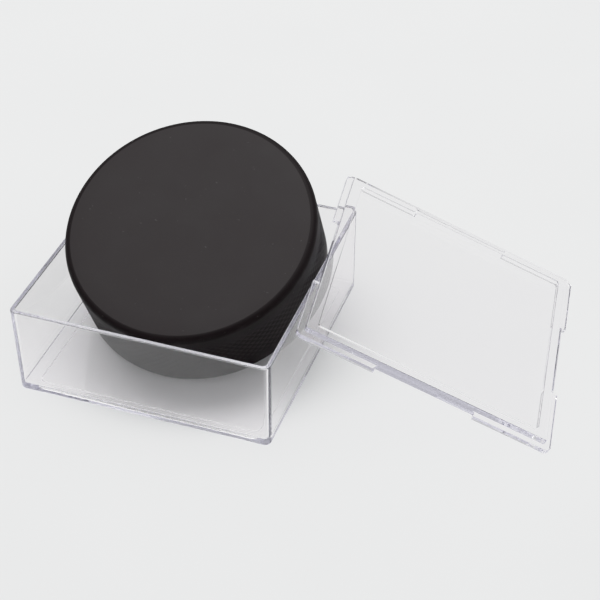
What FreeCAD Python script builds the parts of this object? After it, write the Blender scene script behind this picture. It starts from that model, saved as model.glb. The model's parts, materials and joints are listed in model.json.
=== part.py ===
"""Ice hockey puck with its clear two-piece display case: a square tray and a lid.

The tray stands upright. The puck is tipped in it: the front of its lower edge is on the
tray's floor and its underside leans on the top of the back wall. The lid leans beside the
tray with its inside facing up: one edge is on the table and its outer face rests on the
tray's back right corner.

Frame: origin at the centre of the tray's underside, +X to the right, +Y to the back, +Z up.
Sizes are in millimetres. Every piece is drawn at the origin in its own closed position and
is then set down by its Placement.
"""
import FreeCAD, Part
import math
import os

from FreeCAD import Placement, Rotation, Vector
from Sketcher import Constraint

DRIVING_SIZES = {
    # puck: the regulation size, three inches across and one inch thick
    "puck_diameter": 76.2,
    "puck_thickness": 25.4,
    "puck_edge_radius": 2.0,
    # tray: a thin-walled square box that is slightly wider at its rim than at its foot
    "case_side": 79.8,
    "tray_height": 29.5,
    "wall_thickness": 1.45,
    "wall_draft": 0.3,
    "floor_thickness": 2.1,
    "corner_radius": 2.0,
    "inner_corner_radius": 0.8,
    "foot_edge_radius": 1.2,
    "rim_edge_radius": 0.35,
    "floor_recess_inset": 4.9,
    "floor_recess_depth": 0.5,
    "recess_corner_radius": 0.4,
    "floor_corner_radius": 0.7,
    # lid: a flat plate with a raised frame that drops inside the tray's rim
    "plate_thickness": 1.7,
    "ledge_width": 1.9,
    "frame_width": 3.3,
    "frame_height": 1.7,
    "frame_corner_radius": 1.0,
    "frame_edge_radius": 0.3,
    "grip_notch_length": 31.0,
    "grip_notch_radius": 0.6,
    "lid_edge_radius": 0.4,
    # how the pieces lie
    "puck_tilt": 24.8,
    "lid_yaw": 7.5,
    "lid_table_x": 109.9,
    "lid_table_y": 22.4,
    "rest_gap": 0.15,
}


def make_sheet(document):
    """The spreadsheet that every size is bound to."""
    sheet = document.addObject("Spreadsheet::Sheet", "sizes")
    for row, (alias, value) in enumerate(DRIVING_SIZES.items(), start=1):
        sheet.set(f"A{row}", alias)
        sheet.set(f"B{row}", str(value))
        sheet.setAlias(f"B{row}", alias)
    document.recompute()
    return sheet


def new_body(document, name):
    body = document.addObject("PartDesign::Body", name)
    body.Label = name
    return body


def base_plane(body, role):
    return next(item for item in body.Origin.OriginFeatures if item.Role == role)


def new_sketch(body, name, height="0"):
    """A sketch parallel to the body's XY plane, at a height given as an expression."""
    sketch = body.newObject("Sketcher::SketchObject", name)
    sketch.AttachmentSupport = [(base_plane(body, "XY_Plane"), "")]
    sketch.MapMode = "FlatFace"
    sketch.setExpression("AttachmentOffset.Base.z", height)
    return sketch


def draw_rectangle(sketch, width, depth, radius, centre_y="0 mm"):
    """A rectangle with rounded corners, centred on the sketch's Y axis.

    Every argument is an expression. Lines 0 to 3 run anticlockwise from the front side and
    arcs 4 to 7 follow them, each arc after the line of the same side.
    """
    directions = [Vector(1, 0, 0), Vector(0, 1, 0), Vector(-1, 0, 0), Vector(0, -1, 0)]
    reach, corner = 5.0, 1.0
    for side, along in enumerate(directions):
        outward = Vector(along.y, -along.x, 0)
        start = outward * reach - along * (reach - corner)
        end = outward * reach + along * (reach - corner)
        sketch.addGeometry(Part.LineSegment(start, end), False)
    for side, along in enumerate(directions):
        outward = Vector(along.y, -along.x, 0)
        centre = (outward + along) * (reach - corner)
        start = math.atan2(outward.y, outward.x)
        circle = Part.Circle(centre, Vector(0, 0, 1), corner)
        sketch.addGeometry(Part.ArcOfCircle(circle, start, start + math.pi / 2), False)
    middle = sketch.addGeometry(Part.Point(Vector(0, 0, 0)), True)
    for side in range(4):
        arc = side + 4
        sketch.addConstraint(Constraint("Tangent", side, 2, arc, 1))
        sketch.addConstraint(Constraint("Tangent", arc, 2, (side + 1) % 4, 1))
        sketch.addConstraint(Constraint("Horizontal" if side % 2 == 0 else "Vertical", side))
        if side > 0:
            sketch.addConstraint(Constraint("Equal", 4, arc))
    sketch.addConstraint(Constraint("Symmetric", 4, 3, 6, 3, middle, 1))
    sketch.addConstraint(Constraint("PointOnObject", middle, 1, -2))
    sizes = [
        ("Width", Constraint("DistanceX", 3, 1, 1, 1, 2 * reach), width),
        ("Depth", Constraint("DistanceY", 0, 1, 2, 1, 2 * reach), depth),
        ("Centre", Constraint("DistanceY", -1, 1, middle, 1, 0.0), centre_y),
        ("Radius", Constraint("Radius", 4, corner), radius),
    ]
    for label, constraint, expression in sizes:
        sketch.renameConstraint(sketch.addConstraint(constraint), label)
        sketch.setExpression("Constraints." + label, expression)


def pad(body, name, outline, length):
    """Raise an outline by a length given as an expression."""
    feature = body.newObject("PartDesign::Pad", name)
    feature.Profile = outline
    feature.setExpression("Length", length)
    body.Document.recompute()
    return feature


def pocket(body, name, outline, length, upwards=True):
    """Cut an outline to a depth given as an expression, from the outline's own level."""
    before = body.Tip.Shape.Volume
    feature = body.newObject("PartDesign::Pocket", name)
    feature.Profile = outline
    feature.Reversed = upwards
    feature.setExpression("Length", length)
    body.Document.recompute()
    if feature.Shape.Volume > before - 1:
        raise RuntimeError(f"{name} cut nothing")
    return feature


def slope_walls(body, name, test, angle, outside):
    """Lean walls outwards as they rise, keeping their size at the height of the XY plane."""
    base = body.Tip
    walls = [f"Face{number}" for number, face in enumerate(base.Shape.Faces, start=1) if test(face)]
    draft = body.newObject("PartDesign::Draft", name)
    draft.Base = (base, walls)
    draft.NeutralPlane = (base_plane(body, "XY_Plane"), [""])
    draft.Reversed = outside
    draft.setExpression("Angle", angle)
    body.Document.recompute()
    return draft


def edges_where(shape, test):
    return [f"Edge{number}" for number, edge in enumerate(shape.Edges, start=1) if test(edge)]


def round_edges(body, name, test, radius):
    """Fillet the edges of the body's latest feature that pass the test."""
    base = body.Tip
    fillet = body.newObject("PartDesign::Fillet", name)
    fillet.Base = (base, edges_where(base.Shape, test))
    fillet.setExpression("Radius", radius)
    body.Document.recompute()
    return fillet


def flat_at(height):
    """Test for the edges that lie at one height."""
    def test(edge):
        box = edge.BoundBox
        return abs(box.ZMin - height) < 1e-3 and abs(box.ZMax - height) < 1e-3
    return test


def make_puck(document):
    """A solid rubber disc with rounded edges."""
    body = new_body(document, "puck")
    outline = new_sketch(body, "PuckOutline")
    outline.addGeometry(Part.Circle(Vector(0, 0, 0), Vector(0, 0, 1), 10), False)
    outline.addConstraint(Constraint("Coincident", 0, 3, -1, 1))
    outline.renameConstraint(outline.addConstraint(Constraint("Diameter", 0, 20)), "Across")
    outline.setExpression("Constraints.Across", "sizes.puck_diameter")
    pad(body, "Disc", outline, "sizes.puck_thickness")
    round_edges(body, "PuckEdges", lambda edge: edge.isClosed(), "sizes.puck_edge_radius")
    return body


def make_tray(document, sheet):
    """The lower half of the case: four drafted walls on a floor with a shallow recess below."""
    body = new_body(document, "case_base")
    foot_side = "sizes.case_side - 2 * sizes.wall_draft"
    lean = "atan(sizes.wall_draft / sizes.tray_height)"
    block_outline = new_sketch(body, "BlockOutline")
    draw_rectangle(block_outline, foot_side, foot_side, "sizes.corner_radius")
    pad(body, "Block", block_outline, "sizes.tray_height")
    slope_walls(body, "OuterWalls", lambda face: face.BoundBox.ZLength > 1, lean, outside=True)
    round_edges(body, "FootEdge", flat_at(0), "sizes.foot_edge_radius")

    floor_level = float(sheet.floor_thickness)
    inside = foot_side + " - 2 * sizes.wall_thickness"
    cavity_outline = new_sketch(body, "CavityOutline", "sizes.tray_height * 1 mm")
    draw_rectangle(cavity_outline, inside, inside, "sizes.inner_corner_radius")
    pocket(body, "Cavity", cavity_outline, "sizes.tray_height - sizes.floor_thickness",
           upwards=False)
    slope_walls(body, "InnerWalls", lambda face: abs(face.BoundBox.ZMin - floor_level) < 1e-3
                and face.BoundBox.ZLength > 1, lean, outside=False)
    round_edges(body, "FloorCorner", flat_at(floor_level), "sizes.floor_corner_radius")
    round_edges(body, "RimEdges", flat_at(float(sheet.tray_height)), "sizes.rim_edge_radius")

    recess_side = "sizes.case_side - 2 * sizes.floor_recess_inset"
    recess_outline = new_sketch(body, "FloorRecessOutline")
    draw_rectangle(recess_outline, recess_side, recess_side, "sizes.corner_radius")
    pocket(body, "FloorRecess", recess_outline, "sizes.floor_recess_depth")
    round_edges(body, "RecessCorner", flat_at(float(sheet.floor_recess_depth)),
                "sizes.recess_corner_radius")
    return body


def make_lid(document, sheet):
    """The upper half of the case, drawn with its outer face down and its inside up."""
    body = new_body(document, "case_lid")
    plate_outline = new_sketch(body, "PlateOutline")
    draw_rectangle(plate_outline, "sizes.case_side", "sizes.case_side", "sizes.corner_radius")
    pad(body, "Plate", plate_outline, "sizes.plate_thickness")

    # grip notches: the middle of each side is cut back as far as the raised frame
    notch_outline = new_sketch(body, "NotchOutline")
    draw_rectangle(notch_outline, "sizes.grip_notch_length", "2 * sizes.ledge_width",
                   "sizes.grip_notch_radius", "sizes.case_side / 2")
    notch = pocket(body, "Notch", notch_outline, "sizes.plate_thickness")
    notches = body.newObject("PartDesign::PolarPattern", "Notches")
    notches.Originals = [notch]
    notches.Axis = (base_plane(body, "Z_Axis"), [""])
    notches.Angle = 360
    notches.Occurrences = 4
    body.Tip = notches
    document.recompute()
    round_edges(body, "LidEdge", flat_at(0), "sizes.lid_edge_radius")

    plate_top = "sizes.plate_thickness * 1 mm"
    frame_top = "(sizes.plate_thickness + sizes.frame_height) * 1 mm"
    frame_side = "sizes.case_side - 2 * sizes.ledge_width"
    frame_outline = new_sketch(body, "FrameOutline", plate_top)
    draw_rectangle(frame_outline, frame_side, frame_side, "sizes.frame_corner_radius")
    pad(body, "Frame", frame_outline, "sizes.frame_height")
    well_side = frame_side + " - 2 * sizes.frame_width"
    well_outline = new_sketch(body, "WellOutline", frame_top)
    draw_rectangle(well_outline, well_side, well_side, "sizes.frame_corner_radius")
    pocket(body, "Well", well_outline, "sizes.frame_height", upwards=False)
    top_level = float(sheet.plate_thickness) + float(sheet.frame_height)
    round_edges(body, "FrameEdges", flat_at(top_level), "sizes.frame_edge_radius")
    return body


def puck_placement(sheet):
    """Tip the puck forwards until it stands on the floor and leans on the back wall."""
    tilt = math.radians(float(sheet.puck_tilt))
    radius = float(sheet.puck_diameter) / 2
    edge = float(sheet.puck_edge_radius)
    gap = float(sheet.rest_gap)
    wall_y = float(sheet.case_side) / 2 - float(sheet.wall_thickness)
    # height at which the rounded lower edge just clears the floor
    low = float(sheet.floor_thickness) + gap + edge
    centre_z = low + (radius - edge) * math.sin(tilt) - edge * math.cos(tilt)
    # depth at which the underside just clears the inner edge of the back wall's rim
    rise = float(sheet.tray_height) - centre_z
    centre_y = wall_y - (gap + rise * math.cos(tilt)) / math.sin(tilt)
    turn = Rotation(Vector(1, 0, 0), float(sheet.puck_tilt))
    return Placement(Vector(0, centre_y, centre_z), turn)


def lid_placement(sheet):
    """Lean the lid: right-hand edge on the table, outer face on the tray's back right corner."""
    yaw = math.radians(float(sheet.lid_yaw))
    gap = float(sheet.rest_gap)
    half = float(sheet.case_side) / 2
    radius = float(sheet.corner_radius)
    downhill = Vector(math.cos(yaw), math.sin(yaw), 0)
    along_edge = Vector(-math.sin(yaw), math.cos(yaw), 0)
    table = Vector(float(sheet.lid_table_x), float(sheet.lid_table_y), gap)
    # the point of the rounded corner that is furthest down the lid's slope
    corner = Vector(half - radius, half - radius, float(sheet.tray_height)) + downhill * radius
    run = (table - corner).dot(downhill)
    reach = math.hypot(run, corner.z - table.z)
    # the face passes one gap above the tray's corner
    slope = math.atan2(corner.z - table.z, run) + math.asin(gap / reach)
    across = downhill * math.cos(slope) - Vector(0, 0, math.sin(slope))
    normal = across.cross(along_edge)
    turn = Rotation(across, along_edge, normal, "XYZ")
    return Placement(table - across * half, turn)


def check(document, pieces):
    """Stop on any failed feature or unsound solid before anything is written."""
    for item in document.Objects:
        if "Invalid" in item.State or "Error" in item.State:
            raise RuntimeError(f"{item.Name} failed: {item.State}")
    for piece in pieces:
        shape = piece.Shape
        if shape.isNull() or not shape.isValid() or len(shape.Solids) != 1:
            raise RuntimeError(f"{piece.Label} is not one valid solid")
        print(f"{piece.Label}: {shape.Volume / 1000:.2f} cm3, {len(shape.Faces)} faces")
    for first in range(len(pieces)):
        for second in range(first + 1, len(pieces)):
            distance = pieces[first].Shape.distToShape(pieces[second].Shape)[0]
            print(f"{pieces[first].Label} to {pieces[second].Label}: {distance:.2f} mm apart")


def main():
    os.makedirs("parts", exist_ok=True)
    document = FreeCAD.newDocument("puck_in_display_case")
    sheet = make_sheet(document)
    tray = make_tray(document, sheet)
    puck = make_puck(document)
    lid = make_lid(document, sheet)
    puck.Placement = puck_placement(sheet)
    lid.Placement = lid_placement(sheet)
    document.recompute()
    pieces = [tray, puck, lid]
    check(document, pieces)
    for piece in pieces:
        piece.Shape.exportStep(f"parts/{piece.Label}.step")


main()
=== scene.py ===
import bmesh
import bpy
import json
import math

from mathutils import Matrix, Vector


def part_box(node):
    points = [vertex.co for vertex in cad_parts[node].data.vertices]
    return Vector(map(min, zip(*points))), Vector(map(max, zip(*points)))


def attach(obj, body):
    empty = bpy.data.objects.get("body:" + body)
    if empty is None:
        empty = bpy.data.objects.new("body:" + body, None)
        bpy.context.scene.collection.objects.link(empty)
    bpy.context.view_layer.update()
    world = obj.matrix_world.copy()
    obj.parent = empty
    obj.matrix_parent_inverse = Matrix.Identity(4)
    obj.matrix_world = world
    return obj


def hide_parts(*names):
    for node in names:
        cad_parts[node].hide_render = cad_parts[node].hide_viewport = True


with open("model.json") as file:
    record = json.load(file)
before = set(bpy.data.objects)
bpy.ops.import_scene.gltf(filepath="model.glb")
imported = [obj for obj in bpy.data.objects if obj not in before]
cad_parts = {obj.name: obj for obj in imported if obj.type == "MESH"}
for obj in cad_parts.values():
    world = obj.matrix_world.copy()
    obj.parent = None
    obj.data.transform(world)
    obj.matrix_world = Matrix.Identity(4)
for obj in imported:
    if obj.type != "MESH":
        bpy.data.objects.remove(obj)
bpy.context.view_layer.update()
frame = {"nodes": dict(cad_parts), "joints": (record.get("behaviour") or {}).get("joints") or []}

MM = 0.001

# the puck's moulding, in metres
PUCK_THICKNESS = 25.4 * MM
PUCK_EDGE = 2.0 * MM
KNURL_MARGIN = 5.0 * MM
KNURL_DEPTH = 0.16 * MM

# the knurl: diamonds around and up the band, and the width and roundness of its grooves
KNURL_AROUND = 92
KNURL_ROWS = 6
GROOVE_SHARE = 0.45
GROOVE_ROUNDING = 0.7

# the puck's mesh: rings on each face as shares of the radius, then steps over an edge and over
# a diamond
FACE_RINGS = (0.02, 0.2, 0.4, 0.6, 0.8)
EDGE_STEPS = 8
STEPS_PER_DIAMOND = 8

# the film's response: scene light and picture light, both linear
FILM_SHOULDER = ((0.5, 0.5), (0.75, 0.71))
FILM_WHITE = 0.838

# the camera, in metres and degrees
CAMERA_AT = Vector((0.1602, -0.3526, 0.3195))
CAMERA_HEADING = 19.54
CAMERA_DIP = 38.39
CAMERA_ROLL = -0.37
CAMERA_NEAR = 0.01

# the camera's focal length and sensor, in millimetres
CAMERA_LENS = 97.07
SENSOR = 36.0

# noise over a piece: cycles per metre, detail and roughness
RUBBER_CLOUDS = (60, 5.0, 0.65)
RUBBER_SWELL = (260, 3.0, 0.5)
RUBBER_SPECKS = (900, 2.0, 0.5)
RUBBER_GRAIN = (2600, 3.0, 0.6)
PLASTIC_FLOW = (60, 2.0, 0.4)
PLASTIC_HAZE = (500, 4.0, 0.6)
TABLE_CLOUDS = (12, 3.0, 0.5)

# bumps: height in metres and strength
SWELL_BUMP = (0.05 * MM, 0.5)
GRAIN_BUMP = (0.02 * MM, 0.6)
FLOW_BUMP = (0.03 * MM, 0.25)

# black rubber: darker and lighter cloud colours and the strength of the shine
FACE_RUBBER = ((0.0056, 0.0020, 0.0030), (0.0128, 0.0084, 0.0094), 0.42)
# the side's colours are darker and its shine weaker than the face's: painted shade on the side
SHADED_SIDE_RUBBER = ((0.0040, 0.0014, 0.0020), (0.0062, 0.0032, 0.0040), 0.22)
RUBBER_IOR = 1.33
RUBBER_ROUGHNESS = (0.40, 0.62)
CLOUD_SPAN = (0.3, 0.72)
SPECK_SPAN = (0.72, 0.80)
DUST_COLOUR = (0.045, 0.042, 0.043, 1)

# clear plastic: the colours of its surface, of light passing through and of its depth
PLASTIC_TINT = (0.999, 0.988, 0.995, 1)
PASSING_TINT = (1.0, 0.998, 1.0, 1)
DEPTH_TINT = (0.90, 0.896, 0.955, 1)
DEPTH_DENSITY = 24.0
PLASTIC_IOR = 1.51
PLASTIC_ROUGHNESS = (0.0, 0.05)

# the table: half its side and how far it lies below the object, in metres, and its surface
TABLE_HALF = 4.0
TABLE_DROP = 0.05 * MM
TABLE_SPAN = (0.3, 0.7)
TABLE_COLOURS = ((0.80, 0.81, 0.81), (0.82, 0.83, 0.83))
TABLE_ROUGHNESS = 0.9
TABLE_SHEEN = 0.2

# the softbox over the object, in metres and watts
SOFTBOX_AT = Vector((-0.15, 0.28, 1.5))
SOFTBOX_AIM = Vector((0.03, 0, 0))
SOFTBOX_WIDTH = 1.7
SOFTBOX_DEPTH = 0.8
SOFTBOX_WATTS = 18.2
SOFTBOX_COLOUR = (1.0, 0.995, 0.99)

# the light tent. HORIZON_TOP and DOME_EDGE are heights on the unit sphere, ROOM_EDGE and TENT_EDGE
# are depths on it, and the lights are radiances: the room behind the camera is the darkest part.
HORIZON_TOP = 0.4
DOME_EDGE = 0.9
ROOM_EDGE = -0.6
TENT_EDGE = -0.1
ROOM_LIGHT = 0.25
HORIZON_LIGHT = 0.55
DOME_LIGHT = 0.72
SKY_COLOUR = (0.985, 0.993, 1.0, 1)

# light paths: clear plastic needs many reflections inside it before its edges look clear, and
# BRIGHTEST_BOUNCE holds back stray bright dots
PATH_BOUNCES = 48
PLASTIC_BOUNCES = 40
SEE_THROUGH_BOUNCES = 24
BRIGHTEST_BOUNCE = 4.0


# ---------------------------------------------------------------- nodes and materials

def new_material(name):
    """An empty node material, with its node tree and its output node."""
    material = bpy.data.materials.new(name)
    material.use_nodes = True
    tree = material.node_tree
    tree.nodes.clear()
    output = tree.nodes.new("ShaderNodeOutputMaterial")
    return material, tree, output


def add_node(tree, kind, inputs=None, **settings):
    """A new node with these settings, and each input set to a value or linked to a socket."""
    node = tree.nodes.new(kind)
    for name, value in settings.items():
        setattr(node, name, value)
    for name, value in (inputs or {}).items():
        if isinstance(value, bpy.types.NodeSocket):
            tree.links.new(value, node.inputs[name])
        else:
            node.inputs[name].default_value = value
    return node


def object_noise(tree, scale, detail, roughness):
    """Noise over the piece's own coordinates, with the scale in cycles per metre."""
    place = add_node(tree, "ShaderNodeTexCoord")
    noise = add_node(tree, "ShaderNodeTexNoise", {
        "Vector": place.outputs["Object"], "Scale": scale, "Detail": detail,
        "Roughness": roughness})
    return noise.outputs["Fac"]


def ramp(tree, factor, low, high, low_colour, high_colour):
    """A colour that runs from one to the other as the factor goes from low to high."""
    node = add_node(tree, "ShaderNodeValToRGB", {"Fac": factor})
    first, last = node.color_ramp.elements
    first.position, first.color = low, (*low_colour, 1)
    last.position, last.color = high, (*high_colour, 1)
    return node.outputs["Color"]


def span(tree, factor, low, high):
    """The factor's 0 to 1 stretched over low to high."""
    node = add_node(tree, "ShaderNodeMapRange", {"Value": factor, "To Min": low, "To Max": high})
    return node.outputs["Result"]


def bump(tree, height, distance, strength, below=None):
    """The normal of a bump this many metres high, over another bump where one is given."""
    inputs = {"Height": height, "Distance": distance, "Strength": strength}
    if below is not None:
        inputs["Normal"] = below
    return add_node(tree, "ShaderNodeBump", inputs).outputs["Normal"]


def rubber_material(name, low_colour, high_colour, sheen):
    """Black vulcanised rubber: cloudy bloom, fine grain and a few pale dust specks."""
    material, tree, output = new_material(name)
    clouds = object_noise(tree, *RUBBER_CLOUDS)
    grain = object_noise(tree, *RUBBER_GRAIN)
    swell = object_noise(tree, *RUBBER_SWELL)
    specks = object_noise(tree, *RUBBER_SPECKS)
    cloudy = ramp(tree, clouds, *CLOUD_SPAN, low_colour, high_colour)
    dusty = ramp(tree, specks, *SPECK_SPAN, (0, 0, 0), (1, 1, 1))
    colour = add_node(tree, "ShaderNodeMix", {
        "Factor": dusty, "A": cloudy, "B": DUST_COLOUR}, data_type="RGBA")
    surface = bump(tree, swell, *SWELL_BUMP)
    surface = bump(tree, grain, *GRAIN_BUMP, surface)
    shader = add_node(tree, "ShaderNodeBsdfPrincipled", {
        "Base Color": colour.outputs["Result"],
        "Roughness": span(tree, clouds, *RUBBER_ROUGHNESS),
        "IOR": RUBBER_IOR,
        "Specular IOR Level": sheen,
        "Normal": surface})
    tree.links.new(shader.outputs["BSDF"], output.inputs["Surface"])
    return material


def plastic_material():
    """Clear polystyrene: slightly wavy moulded faces, a few haze spots and a violet depth tint.

    Shadow and diffuse rays pass straight through, so that soft light reaches what it covers.
    """
    material, tree, output = new_material("clear_plastic")
    flow = object_noise(tree, *PLASTIC_FLOW)
    haze = object_noise(tree, *PLASTIC_HAZE)
    shader = add_node(tree, "ShaderNodeBsdfPrincipled", {
        "Base Color": PLASTIC_TINT,
        "Roughness": span(tree, haze, *PLASTIC_ROUGHNESS),
        "IOR": PLASTIC_IOR,
        "Transmission Weight": 1.0,
        "Normal": bump(tree, flow, *FLOW_BUMP)})
    ray = add_node(tree, "ShaderNodeLightPath")
    soft_light = add_node(tree, "ShaderNodeMath", operation="MAXIMUM")
    tree.links.new(ray.outputs["Is Shadow Ray"], soft_light.inputs[0])
    tree.links.new(ray.outputs["Is Diffuse Ray"], soft_light.inputs[1])
    open_way = add_node(tree, "ShaderNodeBsdfTransparent", {"Color": PASSING_TINT})
    mixed = add_node(tree, "ShaderNodeMixShader", {"Fac": soft_light.outputs["Value"]})
    tree.links.new(shader.outputs["BSDF"], mixed.inputs[1])
    tree.links.new(open_way.outputs["BSDF"], mixed.inputs[2])
    tree.links.new(mixed.outputs["Shader"], output.inputs["Surface"])
    depth = add_node(tree, "ShaderNodeVolumeAbsorption", {
        "Color": DEPTH_TINT, "Density": DEPTH_DENSITY})
    tree.links.new(depth.outputs["Volume"], output.inputs["Volume"])
    return material


def floor_material():
    """Matt pale tabletop with a barely visible unevenness."""
    material, tree, output = new_material("pale_table")
    clouds = object_noise(tree, *TABLE_CLOUDS)
    colour = ramp(tree, clouds, *TABLE_SPAN, *TABLE_COLOURS)
    shader = add_node(tree, "ShaderNodeBsdfPrincipled", {
        "Base Color": colour, "Roughness": TABLE_ROUGHNESS, "Specular IOR Level": TABLE_SHEEN})
    tree.links.new(shader.outputs["BSDF"], output.inputs["Surface"])
    return material


# ---------------------------------------------------------------- the puck

def knurl_height(around, up):
    """Height of the diamond knurl, 0 in its grooves and 1 on its flats."""
    first = abs((around + up) % 1.0 - 0.5) * 2
    second = abs((around - up) % 1.0 - 0.5) * 2
    groove = min(first, second)
    return min(1.0, groove / GROOVE_SHARE) ** GROOVE_ROUNDING


def puck_profile(radius):
    """The lower half of the smooth outline, from the underside's middle out: (radius, height)."""
    half = PUCK_THICKNESS / 2
    lower = [(radius * share, -half) for share in FACE_RINGS]
    for step in range(EDGE_STEPS + 1):
        angle = math.radians(90) * step / EDGE_STEPS
        lower.append((radius - PUCK_EDGE + PUCK_EDGE * math.sin(angle),
                      -half + PUCK_EDGE - PUCK_EDGE * math.cos(angle)))
    return lower


def puck_ring(bm, size, height, depth=0.0, pattern=0.0):
    """One closed row of points around the puck, with the knurl cut to this depth."""
    columns = KNURL_AROUND * STEPS_PER_DIAMOND
    ring = []
    for column in range(columns):
        angle = 2 * math.pi * column / columns
        reach = size - depth * (1 - knurl_height(column / STEPS_PER_DIAMOND, pattern))
        ring.append(bm.verts.new((reach * math.cos(angle), reach * math.sin(angle), height)))
    return ring


def puck_rings(bm, radius):
    """Every row of points, from the underside over the knurled side to the upper face."""
    lower = puck_profile(radius)
    band_half = PUCK_THICKNESS / 2 - KNURL_MARGIN
    band_rows = KNURL_ROWS * STEPS_PER_DIAMOND
    rings = [puck_ring(bm, size, height) for size, height in lower]
    for row in range(band_rows + 1):
        height = -band_half + 2 * band_half * row / band_rows
        fade = min(1.0, min(row, band_rows - row) / STEPS_PER_DIAMOND)
        rings.append(puck_ring(bm, radius, height, KNURL_DEPTH * fade, row / STEPS_PER_DIAMOND))
    rings.extend(puck_ring(bm, size, -height) for size, height in reversed(lower))
    return rings


def puck_mesh(radius):
    """The upright puck about the origin, with its faces in slot 0 and its side in slot 1."""
    bm = bmesh.new()
    rings = puck_rings(bm, radius)
    for number, (below, above) in enumerate(zip(rings, rings[1:])):
        on_side = len(FACE_RINGS) <= number < len(rings) - 1 - len(FACE_RINGS)
        for column in range(len(below)):
            follow = (column + 1) % len(below)
            quad = bm.faces.new((below[column], below[follow], above[follow], above[column]))
            quad.material_index = int(on_side)
    bm.faces.new(reversed(rings[0]))
    bm.faces.new(rings[-1])
    mesh = bpy.data.meshes.new("puck_rubber")
    bm.to_mesh(mesh)
    bm.free()
    mesh.shade_smooth()
    return mesh


def build_puck():
    """The rubber disc in the middle of the CAD puck's box, leaning as its joint's axis does."""
    low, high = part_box("puck")
    lift = next(joint for joint in frame["joints"] if joint["child"] == "puck")
    axis = Vector(lift["axis"]).normalized()
    side = Vector((1, 0, 0))
    turn = Matrix((side, axis.cross(side), axis)).transposed().to_4x4()
    mesh = puck_mesh((high.x - low.x) / 2)
    mesh.transform(Matrix.Translation((low + high) / 2) @ turn)
    piece = bpy.data.objects.new("puck_rubber", mesh)
    bpy.context.scene.collection.objects.link(piece)
    piece.data.materials.append(rubber_material("black_rubber", *FACE_RUBBER))
    # the side gets the darker copy of the same rubber, which is painted shade
    piece.data.materials.append(rubber_material("black_rubber_shaded_side", *SHADED_SIDE_RUBBER))
    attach(piece, "puck")
    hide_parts("puck")


# ---------------------------------------------------------------- the case

def dress_case():
    """The two clear mouldings keep their CAD shape and get the clear plastic."""
    plastic = plastic_material()
    for name in ("case_base", "case_lid"):
        node = frame["nodes"][name]
        node.data.materials.clear()
        node.data.materials.append(plastic)


# ---------------------------------------------------------------- stage

def build_floor():
    """A wide plain table just below the object."""
    mesh = bpy.data.meshes.new("table_top")
    bm = bmesh.new()
    bmesh.ops.create_grid(bm, x_segments=4, y_segments=4, size=TABLE_HALF)
    bm.to_mesh(mesh)
    bm.free()
    floor = bpy.data.objects.new("table_top", mesh)
    floor.location = (0, 0, -TABLE_DROP)
    bpy.context.scene.collection.objects.link(floor)
    floor.data.materials.append(floor_material())


def build_softbox():
    """One wide rectangular light, aimed down at the object from above and a little behind."""
    light = bpy.data.lights.new("softbox_top", "AREA")
    light.shape = "RECTANGLE"
    light.size, light.size_y = SOFTBOX_WIDTH, SOFTBOX_DEPTH
    light.energy = SOFTBOX_WATTS
    light.color = SOFTBOX_COLOUR
    box = bpy.data.objects.new("softbox_top", light)
    box.location = SOFTBOX_AT
    box.rotation_euler = (SOFTBOX_AIM - SOFTBOX_AT).to_track_quat("-Z", "Y").to_euler()
    bpy.context.scene.collection.objects.link(box)


def build_tent():
    """The world as a light tent: bright overhead, dimmer towards the horizon and the camera."""
    world = bpy.data.worlds.new("studio")
    bpy.context.scene.world = world
    world.use_nodes = True
    tree = world.node_tree
    place = add_node(tree, "ShaderNodeTexCoord")
    direction = add_node(tree, "ShaderNodeSeparateXYZ", {"Vector": place.outputs["Generated"]})
    horizon = add_node(tree, "ShaderNodeMapRange", {
        "Value": direction.outputs["Y"], "From Min": ROOM_EDGE, "From Max": TENT_EDGE,
        "To Min": ROOM_LIGHT, "To Max": HORIZON_LIGHT}, interpolation_type="SMOOTHSTEP")
    dome = add_node(tree, "ShaderNodeMapRange", {
        "Value": direction.outputs["Z"], "From Min": HORIZON_TOP, "From Max": DOME_EDGE,
        "To Min": horizon.outputs["Result"], "To Max": DOME_LIGHT},
        interpolation_type="SMOOTHSTEP")
    background = tree.nodes["Background"]
    background.inputs["Color"].default_value = SKY_COLOUR
    tree.links.new(dome.outputs["Result"], background.inputs["Strength"])


def build_camera():
    """The camera at its place, turned by its heading from straight ahead, its dip and its roll."""
    heading, dip, roll = (math.radians(v) for v in (CAMERA_HEADING, CAMERA_DIP, CAMERA_ROLL))
    forward = Vector((-math.sin(heading) * math.cos(dip), math.cos(heading) * math.cos(dip),
                      -math.sin(dip)))
    level = Vector((math.cos(heading), math.sin(heading), 0))
    raised = level.cross(forward)
    right = level * math.cos(roll) + raised * math.sin(roll)
    up = raised * math.cos(roll) - level * math.sin(roll)
    data = bpy.data.cameras.new("photo_view")
    data.sensor_width = SENSOR
    data.lens = CAMERA_LENS
    data.clip_start = CAMERA_NEAR
    camera = bpy.data.objects.new("photo_view", data)
    bpy.context.scene.collection.objects.link(camera)
    axes = Matrix((right, up, -forward)).transposed().to_4x4()
    camera.matrix_world = Matrix.Translation(CAMERA_AT) @ axes
    bpy.context.scene.camera = camera


def set_picture():
    """Plain display colours with a soft highlight shoulder, and enough bounces for clear plastic."""
    scene = bpy.context.scene
    view = scene.view_settings
    view.view_transform = "Standard"
    view.look = "None"
    view.use_curve_mapping = True
    curve = view.curve_mapping.curves[3]
    curve.points[-1].location = (1, FILM_WHITE)
    for light, picture in FILM_SHOULDER:
        curve.points.new(light, picture)
    view.curve_mapping.update()
    scene.cycles.max_bounces = PATH_BOUNCES
    scene.cycles.glossy_bounces = PLASTIC_BOUNCES
    scene.cycles.transmission_bounces = PLASTIC_BOUNCES
    scene.cycles.transparent_max_bounces = SEE_THROUGH_BOUNCES
    scene.cycles.sample_clamp_indirect = BRIGHTEST_BOUNCE


build_puck()
dress_case()
build_floor()
build_softbox()
build_tent()
build_camera()
set_picture()
